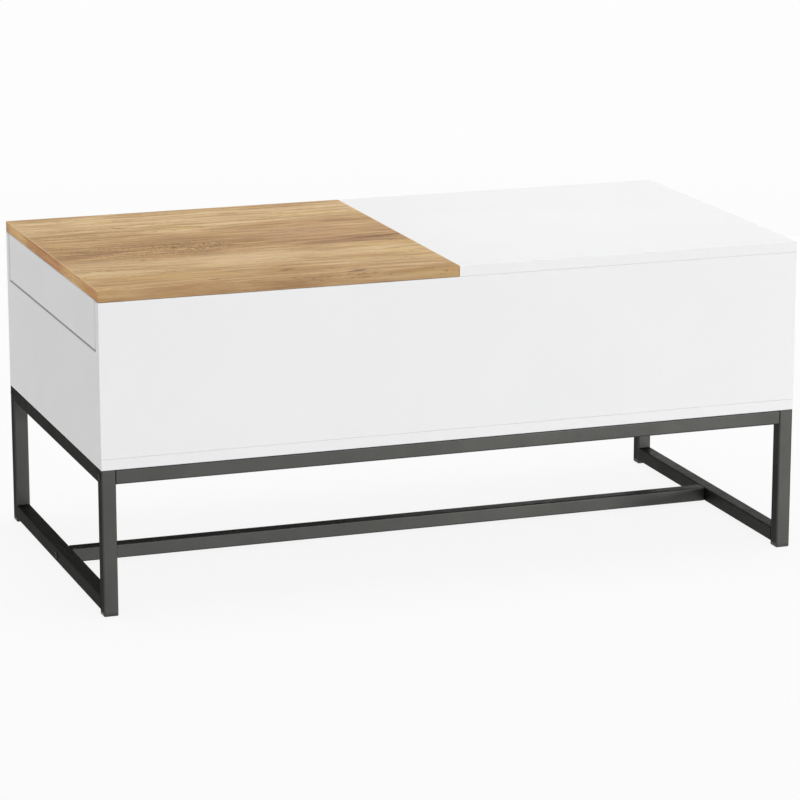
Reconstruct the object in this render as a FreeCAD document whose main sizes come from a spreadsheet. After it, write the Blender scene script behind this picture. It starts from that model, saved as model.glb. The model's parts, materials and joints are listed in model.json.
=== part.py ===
"""Extendable coffee table: a storage chest on a square-tube stand, under a two-part top.

The right half of the top is fixed. The left half is a sliding leaf: an oak-faced slab on
two rails, with an end apron, that pulls out to the left on two ball-bearing runners.

X runs along the table with the leaf at -X, the front is at -Y and Z is up. The origin is on
the floor under the middle of the table. Lengths are in millimetres.
"""
import FreeCAD, Part
import os
import re

import Sketcher

# Driving dimensions, one cell of the sheet each.
SIZES = {
    # Chest
    "table_length": 1000.0,
    "table_depth": 510.0,
    "board": 15.0,
    "top_thickness": 15.0,
    "panel_height": 210.0,
    "edge_radius": 0.8,
    # Sliding leaf
    "leaf_seam": 0.6,
    "leaf_lift": 0.5,
    "apron_height": 66.5,
    "apron_gap": 3.0,
    "rail_step": 4.5,
    "stop_room": 10.0,
    # Stand
    "tube": 20.0,
    "tube_wall": 1.5,
    "tube_radius": 2.0,
    "rail_end_radius": 0.8,
    "leg_length": 195.0,
    "foot_height": 5.0,
    "foot_chamfer": 0.8,
    "spigot_length": 15.0,
    "spigot_play": 0.1,
    "plug_length": 20.0,
    # Ball-bearing runners
    "runner_margin": 40.0,
    "runner_height": 45.0,
    "runner_depth": 12.7,
    "runner_wall": 1.2,
    "runner_lip": 0.8,
    "lip_thickness": 0.8,
    "flange_gap": 1.5,
    "ball_diameter": 3.5,
    "ball_play": 0.3,
    "cage_wall": 0.6,
    "cage_play": 0.3,
    "cage_margin": 5.0,
    # Cam fittings: a cam in one board draws in a bolt that is screwed into the next
    "cam_radius": 7.4,
    "cam_floor": 2.5,
    "cam_recess": 0.3,
    "cam_backset": 24.0,
    "cam_drive_length": 9.0,
    "cam_drive_width": 1.4,
    "cam_drive_depth": 2.0,
    "cam_bolt_head_radius": 3.3,
    "cam_bolt_head_length": 4.0,
    "cam_bolt_neck_radius": 2.2,
    "cam_bolt_collar_radius": 3.7,
    "cam_bolt_collar_length": 2.0,
    "cam_bolt_thread_radius": 2.9,
    "cam_bolt_bite": 11.0,
    # Dowels
    "dowel_radius": 4.0,
    "dowel_length": 30.0,
    "dowel_chamfer": 1.0,
    "dowel_face_depth": 10.0,
    # Screws up through the bottom board into the panels
    "base_screw_head_radius": 5.0,
    "base_screw_head_height": 3.0,
    "base_screw_radius": 3.2,
    "base_screw_length": 50.0,
    # Runner screws: countersunk into the panels, round-headed into the leaf rails
    "runner_screw_head_radius": 3.2,
    "runner_screw_head_height": 1.8,
    "runner_screw_radius": 1.75,
    "runner_screw_skin": 3.0,
    "round_head_radius": 3.5,
    "round_head_height": 2.0,
    "round_head_chamfer": 0.8,
    # Bolts of the stand and their threaded inserts
    "bolt_head_radius": 5.0,
    "bolt_head_height": 1.5,
    "bolt_socket_radius": 2.0,
    "bolt_socket_depth": 1.0,
    "bolt_radius": 3.0,
    "bolt_bite": 14.0,
    "insert_radius": 5.0,
    "insert_length": 12.0,
    "insert_bite": 10.0,
    # Stop buffers
    "buffer_radius": 6.0,
    "buffer_tip_radius": 4.5,
    "buffer_taper": 2.0,
    "buffer_play": 0.3,
    # Fits
    "fit_play": 0.1,
    "overrun": 1.0,
}

# Places that follow from the driving dimensions.
PLACES = {
    "half_length": "table_length / 2",
    "half_depth": "table_depth / 2",
    "case_bottom": "foot_height + leg_length",
    "panel_bottom": "case_bottom + board",
    "case_top": "panel_bottom + panel_height",
    "inner_x": "half_length - board",
    "inner_y": "half_depth - board",
    "leaf_bottom": "case_top + leaf_lift",
    "apron_bottom": "leaf_bottom - apron_height",
    "apron_half": "inner_y - apron_gap",
    "rail_height": "apron_height - rail_step",
    "leaf_rail_bottom": "leaf_bottom - rail_height",
    "leaf_rail_middle": "leaf_bottom - rail_height / 2",
    "leaf_rail_outer": "inner_y - runner_depth",
    "leaf_rail_inner": "leaf_rail_outer - board",
    "centre_rail_middle": "case_top - rail_height / 2",
    "stop_half": "stop_room / 2",
    "leaf_rail_length": "inner_x - stop_half",
    "left_panel_height": "apron_bottom - apron_gap - panel_bottom",
    "runner_start": "runner_margin - inner_x",
    "runner_length": "leaf_rail_length - 2 * runner_margin",
    "race": "ball_diameter + 2 * ball_play",
    "outer_half": "runner_height / 2",
    "middle_half": "outer_half - runner_wall - race",
    "inner_half": "middle_half - runner_wall - race",
    "outer_row": "outer_half - runner_wall - race / 2",
    "inner_row": "middle_half - runner_wall - race / 2",
    "outer_cage_web": "runner_wall + cage_play",
    "middle_web": "outer_cage_web + cage_wall + cage_play",
    "inner_cage_web": "middle_web + runner_wall + cage_play",
    "inner_tip": "inner_cage_web + cage_wall + cage_play",
    "inner_web": "runner_depth - runner_wall",
    "flange_tip": "inner_web - flange_gap",
    "lip_start": "flange_tip - lip_thickness",
    "outer_cage_tip": "lip_start - cage_play",
    "inner_cage_tip": "flange_tip - cage_play",
    "outer_ball_depth": "(outer_cage_web + cage_wall + lip_start) / 2",
    "inner_ball_depth": "(inner_cage_web + cage_wall + flange_tip) / 2",
    "cage_length": "runner_length / 2 - 2 * cage_margin",
    "cage_start": "runner_start + runner_length / 4 + cage_margin",
    "tube_inset": "tube / 2",
    "tube_bore": "tube - 2 * tube_wall",
    "leg_x": "half_length - tube_inset",
    "leg_y": "half_depth - tube_inset",
    "top_rail_z": "case_bottom - tube_inset",
    "low_rail_z": "foot_height + tube_inset",
    "spigot": "tube_bore - 2 * spigot_play",
    "cam_pocket_depth": "board - cam_floor",
    "cam_slot_half": "cam_bolt_head_radius + 2 * fit_play",
    "cam_bore_radius": "cam_bolt_collar_radius + fit_play",
    "bolt_grip": "tube + bolt_bite",
    "case_bolt_grip": "tube + insert_bite",
    "runner_screw_length": "runner_wall + board - runner_screw_skin",
}

# Places along a piece, as shares of its size.
BASE_SCREW_LENGTH_SHARES = (-0.4, -0.13, 0.13, 0.4)
BASE_SCREW_DEPTH_SHARES = (-0.22, 0.22)
CASE_BOLT_LENGTH_SHARES = (-0.3, 0.3)
CASE_BOLT_DEPTH_SHARES = (-0.32, 0.32)
LEFT_CAM_SHARES = (0.25, 0.75)
RIGHT_CAM_SHARES = (0.2, 0.8)
END_DOWEL_SHARE = 0.5
TOP_CAM_LENGTH_SHARES = (0.3, 0.8)
TOP_CAM_DEPTH_SHARES = (-0.24, 0.24)
LEAF_CAM_SHARES = (0.2, 0.68)
CROSS_RAIL_CAM_SHARES = (-0.12, 0.12)
CROSS_RAIL_DOWEL_SHARES = (0.3, 0.7)
BUFFER_DEPTH_SHARES = (-0.3, 0.3)
RUNNER_SCREW_SHARES = (0.09, 0.5, 0.91)
BALLS_IN_ROW = 8
BALL_SHARES = tuple((ball + 0.5) / BALLS_IN_ROW for ball in range(BALLS_IN_ROW))

SIDES = {"front": -1, "rear": 1}
ENDS = {"left": -1, "right": 1}
X_AXIS, Y_AXIS, Z_AXIS = (1, 0, 0), (0, 1, 0), (0, 0, 1)

doc = FreeCAD.newDocument("coffee_table")
sheet = doc.addObject("Spreadsheet::Sheet", "sizes")
for row, (alias, value) in enumerate(SIZES.items(), 1):
    sheet.set(f"A{row}", alias)
    sheet.set(f"B{row}", str(value))
    sheet.setAlias(f"B{row}", alias)
doc.recompute()

nodes = {}
bases = {}
cutters = {}
groups = {}


# Formulas

def expand(formula):
    """Writes a formula of named sizes and places as an expression on the sheet."""
    def swap(match):
        word = match.group(0)
        return f"({expand(PLACES[word])})" if word in PLACES else f"sizes.{word}"
    return re.sub(r"[a-z_]+", swap, str(formula))


def number(formula):
    """Works out a formula with the sheet's present values."""
    return float(sheet.evalExpression(expand(formula)))


def bind(item, name, formula):
    """Ties one property of an object to a formula."""
    item.setExpression(name, expand(formula))


def along(place, way, distance):
    """Moves a place by a distance along an axis direction."""
    return tuple(f"{start} + {step} * ({distance})" for start, step in zip(place, way))


def negative(way):
    """Turns an axis direction round."""
    return tuple(-step for step in way)


def cross(one, two):
    """Gives the direction at right angles to two axis directions."""
    product = FreeCAD.Vector(*one).cross(FreeCAD.Vector(*two))
    return tuple(int(round(step)) for step in product)


def put(item, place, x_way=X_AXIS, z_way=Z_AXIS):
    """Ties an object's place to formulas and turns its own X and Z axes to two directions."""
    ways = [FreeCAD.Vector(*way) for way in (x_way, cross(z_way, x_way), z_way)]
    item.Placement = FreeCAD.Placement(FreeCAD.Vector(), FreeCAD.Rotation(*ways))
    for letter, formula in zip("xyz", place):
        bind(item, f"Placement.Base.{letter}", formula)


# Building blocks

def draw(body, name, outlines):
    """Draws closed outlines of straight edges on a body's XY plane, each corner tied to formulas."""
    plane = next(item for item in body.Origin.OriginFeatures if item.Role == "XY_Plane")
    sketch = body.newObject("Sketcher::SketchObject", name)
    sketch.AttachmentSupport = [(plane, "")]
    sketch.MapMode = "FlatFace"
    for outline in outlines:
        first = sketch.GeometryCount
        count = len(outline)
        corners = [FreeCAD.Vector(number(x), number(y), 0) for x, y in outline]
        for index, corner in enumerate(corners):
            sketch.addGeometry(Part.LineSegment(corner, corners[(index + 1) % count]), False)
        for index in range(count):
            follower = first + (index + 1) % count
            sketch.addConstraint(Sketcher.Constraint("Coincident", first + index, 2, follower, 1))
        for index, (x, y) in enumerate(outline):
            for kind, formula in (("DistanceX", x), ("DistanceY", y)):
                limit = Sketcher.Constraint(kind, -1, 1, first + index, 1, number(formula))
                bind(sketch, f"Constraints[{sketch.addConstraint(limit)}]", formula)
    return sketch


def rectangle(low_x, low_y, high_x, high_y):
    """Gives a rectangle's corners, anticlockwise."""
    return [(low_x, low_y), (high_x, low_y), (high_x, high_y), (low_x, high_y)]


def square(side):
    """Gives a square's corners about the origin."""
    return rectangle(f"-({side}) / 2", f"-({side}) / 2", f"({side}) / 2", f"({side}) / 2")


def padded(name, outlines, length):
    """Makes a body that stands up from its outlines."""
    body = doc.addObject("PartDesign::Body", name)
    sketch = draw(body, f"{name}_outline", outlines)
    pad = body.newObject("PartDesign::Pad", f"{name}_pad")
    pad.Profile = sketch
    bind(pad, "Length", length)
    return body, pad


def turned(name, outline):
    """Makes a body turned about its own X axis from (x, radius) corners."""
    body = doc.addObject("PartDesign::Body", name)
    sketch = draw(body, f"{name}_outline", [outline])
    turn = body.newObject("PartDesign::Revolution", f"{name}_turn")
    turn.Profile = sketch
    turn.ReferenceAxis = (sketch, ["H_Axis"])
    turn.Angle = 360
    return body


def edge_side(edge, box):
    """Tells on which sides of a board one of its edges lies, as -1, 0 or 1 along each axis."""
    offset = edge.BoundBox.Center - box.Center
    return tuple(round(2 * step / span) for step, span in zip(offset, (box.XLength, box.YLength, box.ZLength)))


def slab(name, low, high, flush=()):
    """Makes a board between two corners, with its edges softened except those that meet a board flush."""
    spans = [f"({top}) - ({bottom})" for bottom, top in zip(low, high)]
    body, pad = padded(f"{name}_board", [rectangle("0", "0", spans[0], spans[1])], spans[2])
    doc.recompute()
    box = pad.Shape.BoundBox
    soft = [index for index, edge in enumerate(pad.Shape.Edges, 1) if edge_side(edge, box) not in flush]
    fillet = body.newObject("PartDesign::Fillet", f"{name}_edges")
    fillet.Base = (pad, [f"Edge{index}" for index in soft])
    bind(fillet, "Radius", "edge_radius")
    put(body, low)
    bases[name] = body


def square_tube(name, start, way, length):
    """Makes a hollow square tube from the middle of its start face, with rounded corners."""
    body, pad = padded(f"{name}_tube", [square("tube"), square("tube_bore")], length)
    doc.recompute()
    fillet = body.newObject("PartDesign::Fillet", f"{name}_corners")
    reach = number("tube_inset")
    corners = []
    for index, edge in enumerate(pad.Shape.Edges, 1):
        middle = edge.BoundBox.Center
        outside = min(abs(middle.x), abs(middle.y)) > reach - number("tube_wall") / 2
        if outside and edge.BoundBox.ZLength > 0:
            corners.append(f"Edge{index}")
    fillet.Base = (pad, corners)
    bind(fillet, "Radius", "tube_radius")
    put(body, start, x_way=cross(Y_AXIS, way) if way != Y_AXIS else X_AXIS, z_way=way)
    bases[name] = body


def soften_ends(name):
    """Takes the sharpness off the outer rim at both ends of a tube, where it butts against a leg."""
    body = bases[name]
    solid = body.Tip
    doc.recompute()
    middle_of_wall = number("tube_inset") - number("tube_wall") / 2
    rim = []
    for index, edge in enumerate(solid.Shape.Edges, 1):
        box = edge.BoundBox
        reach = max(box.XMax, -box.XMin, box.YMax, -box.YMin)
        if reach > middle_of_wall and box.ZLength < number("rail_end_radius"):
            rim.append(f"Edge{index}")
    fillet = body.newObject("PartDesign::Fillet", f"{name}_ends")
    fillet.Base = (solid, rim)
    bind(fillet, "Radius", "rail_end_radius")


def bore(name, place, way, radius, depth):
    """Cuts a round hole into a node, from a place on its face along a direction."""
    drill = doc.addObject("Part::Cylinder", f"{name}_bore")
    bind(drill, "Radius", radius)
    bind(drill, "Height", f"{depth} + overrun")
    aside = X_AXIS if way[0] == 0 else Y_AXIS
    put(drill, along(place, negative(way), "overrun"), x_way=aside, z_way=way)
    cutters.setdefault(name, []).append(drill)


def copy_of(master, name, place, way, face_way=None):
    """Places a copy of a master piece, its own X axis along a direction."""
    link = doc.addObject("App::Link", f"{name}_copy")
    link.LinkedObject = master
    put(link, place, x_way=way, z_way=face_way or (Z_AXIS if way[2] == 0 else X_AXIS))
    return link


def fasten(group, master, cutter, place, way, boards):
    """Adds one fastener to a group and cuts its hole in each node that it passes."""
    groups.setdefault(group, []).append(copy_of(master, group, place, way))
    for name in boards:
        cutters.setdefault(name, []).append(copy_of(cutter, f"{name}_hole", place, way))


def difference(name, base, tools):
    """Cuts a list of tools from a base."""
    holder = doc.addObject("Part::Compound", f"{name}_cutters")
    holder.Links = tools
    cut = doc.addObject("Part::Cut", f"{name}_cut")
    cut.Base = base
    cut.Tool = holder
    return cut


def block(name, low, spans):
    """Makes a plain block from its low corner and its three sizes."""
    box = doc.addObject("Part::Box", name)
    for side, formula in zip(("Length", "Width", "Height"), spans):
        bind(box, side, formula)
    put(box, low)
    return box


# Master pieces of the fasteners, drawn along their own X axis

def cam_master():
    """The cam: a drum below the board's face, with a slot for the bolt's head and a cross drive."""
    drum = doc.addObject("Part::Cylinder", "cam_drum")
    bind(drum, "Radius", "cam_radius")
    bind(drum, "Height", "cam_pocket_depth - cam_recess")
    put(drum, ("0", "0", "-(cam_pocket_depth)"))
    head_back = "-(cam_bolt_head_length / 2 + 2 * fit_play)"
    slot = block("cam_slot", (head_back, "-(cam_slot_half)", "-(board / 2 + cam_slot_half)"),
                 (f"cam_radius + overrun - ({head_back})", "2 * cam_slot_half", "2 * cam_slot_half"))
    drive_low = "-(cam_recess + cam_drive_depth)"
    drive_height = "cam_drive_depth + overrun"
    wide, slim = "cam_drive_length", "cam_drive_width"
    drives = [block("cam_drive", (f"-{span} / 2", f"-{other} / 2", drive_low), (span, other, drive_height))
              for span, other in ((wide, slim), (slim, wide))]
    return difference("cam_lock", drum, [slot] + drives)


def cam_bolt_master():
    """The cam bolt, from the middle of its head in the cam to the end of its thread."""
    head, neck = "cam_bolt_head_radius", "cam_bolt_neck_radius"
    collar, thread = "cam_bolt_collar_radius", "cam_bolt_thread_radius"
    head_end = "cam_bolt_head_length / 2"
    collar_start = "cam_backset - cam_bolt_collar_length"
    return turned("cam_bolt", [
        (f"-{head_end}", "0"), (f"-{head_end}", head), (head_end, head), (head_end, neck),
        (collar_start, neck), (collar_start, collar), ("cam_backset", collar),
        ("cam_backset", thread), ("cam_backset + cam_bolt_bite", thread),
        ("cam_backset + cam_bolt_bite", "0")])


def dowel_master():
    """The dowel, from the middle of one end, with both ends chamfered."""
    tip = "dowel_radius - dowel_chamfer"
    return turned("dowel", [
        ("0", "0"), ("0", tip), ("dowel_chamfer", "dowel_radius"),
        ("dowel_length - dowel_chamfer", "dowel_radius"), ("dowel_length", tip), ("dowel_length", "0")])


def screw_master(name, head, head_height, shank, length):
    """A countersunk screw, flush with the face at its own origin, with a pointed tip."""
    return turned(name, [
        ("0", "0"), ("0", head), (head_height, shank), (f"{length} - {shank}", shank), (length, "0")])


def screw_hole(name, head, head_height, shank, length):
    """The hole for a countersunk screw, with some play all round."""
    wide, slim, end = f"{head} + fit_play", f"{shank} + fit_play", f"{length} + fit_play"
    return turned(name, [
        ("-overrun", "0"), ("-overrun", wide), ("0", wide), (head_height, slim), (end, slim), (end, "0")])


def round_screw_master(name, shank, length):
    """A round-headed screw whose head bears on the face at its own origin."""
    crown = "-round_head_height"
    shoulder = "round_head_chamfer - round_head_height"
    return turned(name, [
        (crown, "0"), (crown, "round_head_radius - round_head_chamfer"), (shoulder, "round_head_radius"),
        ("0", "round_head_radius"), ("0", shank), (f"{length} - {shank}", shank), (length, "0")])


def bolt_master(name, grip):
    """A low-headed bolt with a drive socket, whose head bears on the face at its own origin."""
    crown, socket_floor = "-bolt_head_height", "bolt_socket_depth - bolt_head_height"
    return turned(name, [
        (socket_floor, "0"), (socket_floor, "bolt_socket_radius"), (crown, "bolt_socket_radius"),
        (crown, "bolt_head_radius"), ("0", "bolt_head_radius"), ("0", "bolt_radius"),
        (grip, "bolt_radius"), (grip, "0")])


def shank_hole(name, radius, length):
    """The hole for a plain shank, with some play all round."""
    wide, end = f"{radius} + fit_play", f"{length} + fit_play"
    return turned(name, [("-overrun", "0"), ("-overrun", wide), (end, wide), (end, "0")])


def insert_master():
    """The threaded insert in the bottom board, open at both ends."""
    hole = "bolt_radius + fit_play"
    return turned("threaded_insert", [
        ("0", hole), ("0", "insert_radius"), ("insert_length", "insert_radius"), ("insert_length", hole)])


def plug_master():
    """The threaded square plug in the end of a long rail."""
    plug = block("rail_plug_block", ("0", "-spigot / 2", "-spigot / 2"), ("plug_length", "spigot", "spigot"))
    hole = shank_hole("rail_plug_hole", "bolt_radius", "plug_length + overrun")
    return difference("rail_plug", plug, [hole])


def foot_master():
    """The foot glide: a square foot under the leg, with a spigot up inside it."""
    body, pad = padded("foot_glide", [square("tube")], "foot_height")
    doc.recompute()
    fillet = body.newObject("PartDesign::Fillet", "foot_corners")
    upright = [edge.BoundBox.ZLength > 0 for edge in pad.Shape.Edges]
    fillet.Base = (pad, [f"Edge{index}" for index, stands in enumerate(upright, 1) if stands])
    bind(fillet, "Radius", "tube_radius")
    doc.recompute()
    chamfer = body.newObject("PartDesign::Chamfer", "foot_chamfer_edge")
    under = [edge.BoundBox.ZMax < number("foot_height") / 2 for edge in fillet.Shape.Edges]
    chamfer.Base = (fillet, [f"Edge{index}" for index, low in enumerate(under, 1) if low])
    bind(chamfer, "Size", "foot_chamfer")
    spigot = body.newObject("PartDesign::Pad", "foot_spigot")
    spigot.Profile = draw(body, "foot_spigot_outline", [square("spigot")])
    bind(spigot, "Length", "foot_height + spigot_length")
    return body


def buffer_master():
    """The soft stop on the centre rail, a little short of the leaf's cross rail."""
    end = "stop_room - buffer_play"
    return turned("stop_buffer", [
        ("0", "0"), ("0", "buffer_radius"), (f"{end} - buffer_taper", "buffer_radius"),
        (end, "buffer_tip_radius"), (end, "0")])


# Joints between boards

def cam_joint(group, cam_board, bolt_board, place, joint_way, face_way):
    """Fits a cam at a place on one board's face, and its bolt through the edge into the next board."""
    inward = negative(face_way)
    axis = along(place, inward, "board / 2")
    mouth = along(axis, joint_way, "cam_backset")
    bore(cam_board, place, inward, "cam_radius + fit_play", "cam_pocket_depth")
    bore(cam_board, mouth, negative(joint_way), "cam_bore_radius", "cam_backset")
    bore(bolt_board, mouth, joint_way, "cam_bolt_thread_radius + fit_play", "cam_bolt_bite + fit_play")
    cams = groups.setdefault(f"{group}_cam_locks", [])
    cams.append(copy_of(cam_lock, f"{group}_cam", place, joint_way, face_way))
    bolts = groups.setdefault(f"{group}_cam_bolts", [])
    bolts.append(copy_of(cam_bolt, f"{group}_cam_bolt", axis, joint_way, face_way))


def dowel_joint(group, face_board, edge_board, place, way):
    """Fits a dowel from one board's face into the edge of the next, which lies along a direction."""
    radius = "dowel_radius + fit_play"
    bore(face_board, place, negative(way), radius, "dowel_face_depth + fit_play")
    bore(edge_board, place, way, radius, "dowel_length - dowel_face_depth + fit_play")
    start = along(place, negative(way), "dowel_face_depth")
    groups.setdefault(group, []).append(copy_of(dowel, group, start, way))


# Sub-assemblies

def stand():
    """The stand: two end frames of square tube, two long rails, a low stretcher and four feet."""
    for end, end_sign in ENDS.items():
        x = f"{end_sign} * leg_x"
        for side, side_sign in SIDES.items():
            y = f"{side_sign} * leg_y"
            square_tube(f"{end}_{side}_leg", (x, y, "foot_height"), Z_AXIS, "leg_length")
            groups.setdefault("foot_glides", []).append(
                copy_of(foot_glide, "foot_glide", (x, y, "0"), X_AXIS))
        for height, z in (("top", "top_rail_z"), ("low", "low_rail_z")):
            square_tube(f"{end}_{height}_rail", (x, "tube - half_depth", z), Y_AXIS, "table_depth - 2 * tube")
    for name, y, z, holders in LONG_RAILS:
        square_tube(name, ("tube - half_length", y, z), X_AXIS, "table_length - 2 * tube")
        soften_ends(name)
        for end, end_sign in ENDS.items():
            way = (-end_sign, 0, 0)
            fasten("frame_bolts", frame_bolt, frame_bolt_hole, (f"{end_sign} * half_length", y, z), way,
                   [f"{end}_{holders}"])
            seat = (f"{end_sign} * (half_length - tube)", y, z)
            groups.setdefault("rail_plugs", []).append(copy_of(rail_plug, "rail_plug", seat, way))


def chest():
    """The chest: bottom board, four panels, the fixed top and the rail under its inner edge."""
    low_z, high_z = "panel_bottom", "case_top"
    slab("bottom_board", ("-half_length", "-half_depth", "case_bottom"), ("half_length", "half_depth", low_z),
         flush=[(end, 0, 1) for end in ENDS.values()])
    slab("front_panel", ("-half_length", "-half_depth", low_z), ("half_length", "-(inner_y)", high_z),
         flush=[(end, *side) for end in ENDS.values() for side in ((1, 0), (0, -1))])
    slab("rear_panel", ("-half_length", "inner_y", low_z), ("half_length", "half_depth", high_z),
         flush=[(end, *side) for end in ENDS.values() for side in ((-1, 0), (0, -1))])
    slab("left_end_panel", ("-half_length", "-(inner_y)", low_z),
         ("-(inner_x)", "inner_y", f"{low_z} + left_panel_height"), flush=[(-1, -1, 0), (-1, 1, 0), (-1, 0, -1)])
    slab("right_end_panel", ("inner_x", "-(inner_y)", low_z), ("half_length", "inner_y", high_z),
         flush=[(1, -1, 0), (1, 1, 0), (1, 0, -1)])
    slab("centre_rail", ("stop_half", "-(inner_y)", "case_top - rail_height"),
         ("stop_half + board", "inner_y", high_z))
    slab("fixed_top", ("leaf_seam / 2", "-half_depth", high_z),
         ("half_length", "half_depth", "case_top + top_thickness"))
    for share in BUFFER_DEPTH_SHARES:
        place = ("stop_half", f"{share} * table_depth", "centre_rail_middle")
        groups.setdefault("stop_buffers", []).append(copy_of(stop_buffer, "stop_buffer", place, (-1, 0, 0)))


def chest_joints():
    """The chest's cams, dowels and base screws, and the bolts that hold it on the stand."""
    heights = {"left": "left_panel_height", "right": "panel_height"}
    cam_shares = {"left": LEFT_CAM_SHARES, "right": RIGHT_CAM_SHARES}
    for end, end_sign in ENDS.items():
        board_name, face_way = f"{end}_end_panel", (-end_sign, 0, 0)
        face_x, middle_x = f"{end_sign} * inner_x", f"{end_sign} * (half_length - board / 2)"
        for side, side_sign in SIDES.items():
            panel, joint_way = f"{side}_panel", (0, side_sign, 0)
            cam_y = f"{side_sign} * (inner_y - cam_backset)"
            for share in cam_shares[end]:
                place = (face_x, cam_y, f"panel_bottom + {share} * {heights[end]}")
                cam_joint("chest", board_name, panel, place, joint_way, face_way)
            place = (middle_x, f"{side_sign} * inner_y", f"panel_bottom + {END_DOWEL_SHARE} * {heights[end]}")
            dowel_joint("chest_dowels", panel, board_name, place, negative(joint_way))
        for share in BASE_SCREW_DEPTH_SHARES:
            place = (middle_x, f"{share} * table_depth", "case_bottom")
            fasten("base_screws", base_screw, base_screw_hole, place, Z_AXIS, ["bottom_board", board_name])
        for share in CASE_BOLT_DEPTH_SHARES:
            hold_down(f"{end}_top_rail", f"{end_sign} * leg_x", f"{share} * table_depth")
    for side, side_sign in SIDES.items():
        panel, face_way = f"{side}_panel", (0, -side_sign, 0)
        for share in BASE_SCREW_LENGTH_SHARES:
            place = (f"{share} * table_length", f"{side_sign} * (half_depth - board / 2)", "case_bottom")
            fasten("base_screws", base_screw, base_screw_hole, place, Z_AXIS, ["bottom_board", panel])
        for share in CASE_BOLT_LENGTH_SHARES:
            hold_down(f"{side}_long_rail", f"{share} * table_length", f"{side_sign} * leg_y")
        for share in TOP_CAM_LENGTH_SHARES:
            place = (f"{share} * half_length", f"{side_sign} * inner_y", "case_top - cam_backset")
            cam_joint("chest", panel, "fixed_top", place, Z_AXIS, face_way)
        place = ("stop_half + board", f"{side_sign} * (inner_y - cam_backset)", "centre_rail_middle")
        cam_joint("chest", "centre_rail", panel, place, (0, side_sign, 0), X_AXIS)
    for share in TOP_CAM_DEPTH_SHARES:
        for name, x, face_way in (("right_end_panel", "inner_x", (-1, 0, 0)),
                                  ("centre_rail", "stop_half + board", X_AXIS)):
            place = (x, f"{share} * table_depth", "case_top - cam_backset")
            cam_joint("chest", name, "fixed_top", place, Z_AXIS, face_way)


def hold_down(rail, x, y):
    """Bolts the bottom board down on a rail, into a threaded insert."""
    fasten("case_bolts", case_bolt, case_bolt_hole, (x, y, "case_bottom - tube"), Z_AXIS, [rail])
    mouth = (x, y, "case_bottom")
    bore("bottom_board", mouth, Z_AXIS, "insert_radius + fit_play", "insert_length + fit_play")
    inserts = groups.setdefault("threaded_inserts", [])
    inserts.append(copy_of(threaded_insert, "threaded_insert", mouth, Z_AXIS))


def leaf():
    """The sliding leaf: the oak-faced slab, its end apron and the three rails under it."""
    top_z = "leaf_bottom"
    slab("leaf_top", ("-half_length", "-half_depth", top_z),
         ("-leaf_seam / 2", "half_depth", "leaf_bottom + top_thickness"))
    slab("leaf_apron", ("-half_length", "-(apron_half)", "apron_bottom"), ("-(inner_x)", "apron_half", top_z))
    slab("leaf_cross_rail", ("-(stop_half + board)", "-(leaf_rail_inner)", "leaf_rail_bottom"),
         ("-(stop_half)", "leaf_rail_inner", top_z))
    slab("leaf_front_rail", ("-(inner_x)", "-(leaf_rail_outer)", "leaf_rail_bottom"),
         ("-(stop_half)", "-(leaf_rail_inner)", top_z))
    slab("leaf_rear_rail", ("-(inner_x)", "leaf_rail_inner", "leaf_rail_bottom"),
         ("-(stop_half)", "leaf_rail_outer", top_z))
    cam_z = "leaf_bottom - cam_backset"
    for side, side_sign in SIDES.items():
        rail, face_way = f"leaf_{side}_rail", (0, -side_sign, 0)
        face_y = f"{side_sign} * leaf_rail_inner"
        for share in LEAF_CAM_SHARES:
            place = (f"{share} * leaf_rail_length - inner_x", face_y, cam_z)
            cam_joint("leaf", rail, "leaf_top", place, Z_AXIS, face_way)
        place = ("cam_backset - inner_x", face_y, "leaf_rail_middle")
        cam_joint("leaf", rail, "leaf_apron", place, (-1, 0, 0), face_way)
        for share in CROSS_RAIL_DOWEL_SHARES:
            place = ("-(stop_half + board / 2)", face_y, f"leaf_rail_bottom + {share} * rail_height")
            dowel_joint("leaf_dowels", rail, "leaf_cross_rail", place, face_way)
    for share in TOP_CAM_DEPTH_SHARES:
        cam_joint("leaf", "leaf_apron", "leaf_top", ("-(inner_x)", f"{share} * table_depth", cam_z),
                  Z_AXIS, X_AXIS)
    for share in CROSS_RAIL_CAM_SHARES:
        place = ("-(stop_half + board)", f"{share} * table_depth", cam_z)
        cam_joint("leaf", "leaf_cross_rail", "leaf_top", place, Z_AXIS, (-1, 0, 0))


def mirrored(half):
    """Completes an outline from its lower half, which runs from the back to the middle."""
    return half + [(depth, f"-({height})") for depth, height in reversed(half)]


def outer_outline():
    """The outer member: a channel on the panel, with its lips turned in."""
    low, lip = "-(outer_half)", "-(outer_half) + runner_wall + runner_lip"
    floor = "-(outer_half) + runner_wall"
    return mirrored([("0", low), ("flange_tip", low), ("flange_tip", lip), ("lip_start", lip),
                     ("lip_start", floor), ("runner_wall", floor)])


def middle_outline():
    """The middle member: a smaller channel inside the outer one, with its lips turned out."""
    low, lip = "-(middle_half)", "-(middle_half + runner_lip)"
    floor = "-(middle_half) + runner_wall"
    return mirrored([("middle_web", low), ("lip_start", low), ("lip_start", lip), ("flange_tip", lip),
                     ("flange_tip", floor), ("middle_web + runner_wall", floor)])


def inner_outline():
    """The inner member: a channel on the leaf's rail that faces the other way."""
    low, floor = "-(inner_half)", "-(inner_half) + runner_wall"
    return mirrored([("runner_depth", low), ("inner_tip", low), ("inner_tip", floor), ("inner_web", floor)])


def cage_outline(web, tip, ball_row):
    """A ball cage: a thin channel whose flanges lie in the two rows of balls."""
    low, high = f"-({ball_row}) - cage_wall / 2", f"-({ball_row}) + cage_wall / 2"
    return mirrored([(web, low), (tip, low), (tip, high), (f"{web} + cage_wall", high)])


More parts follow.
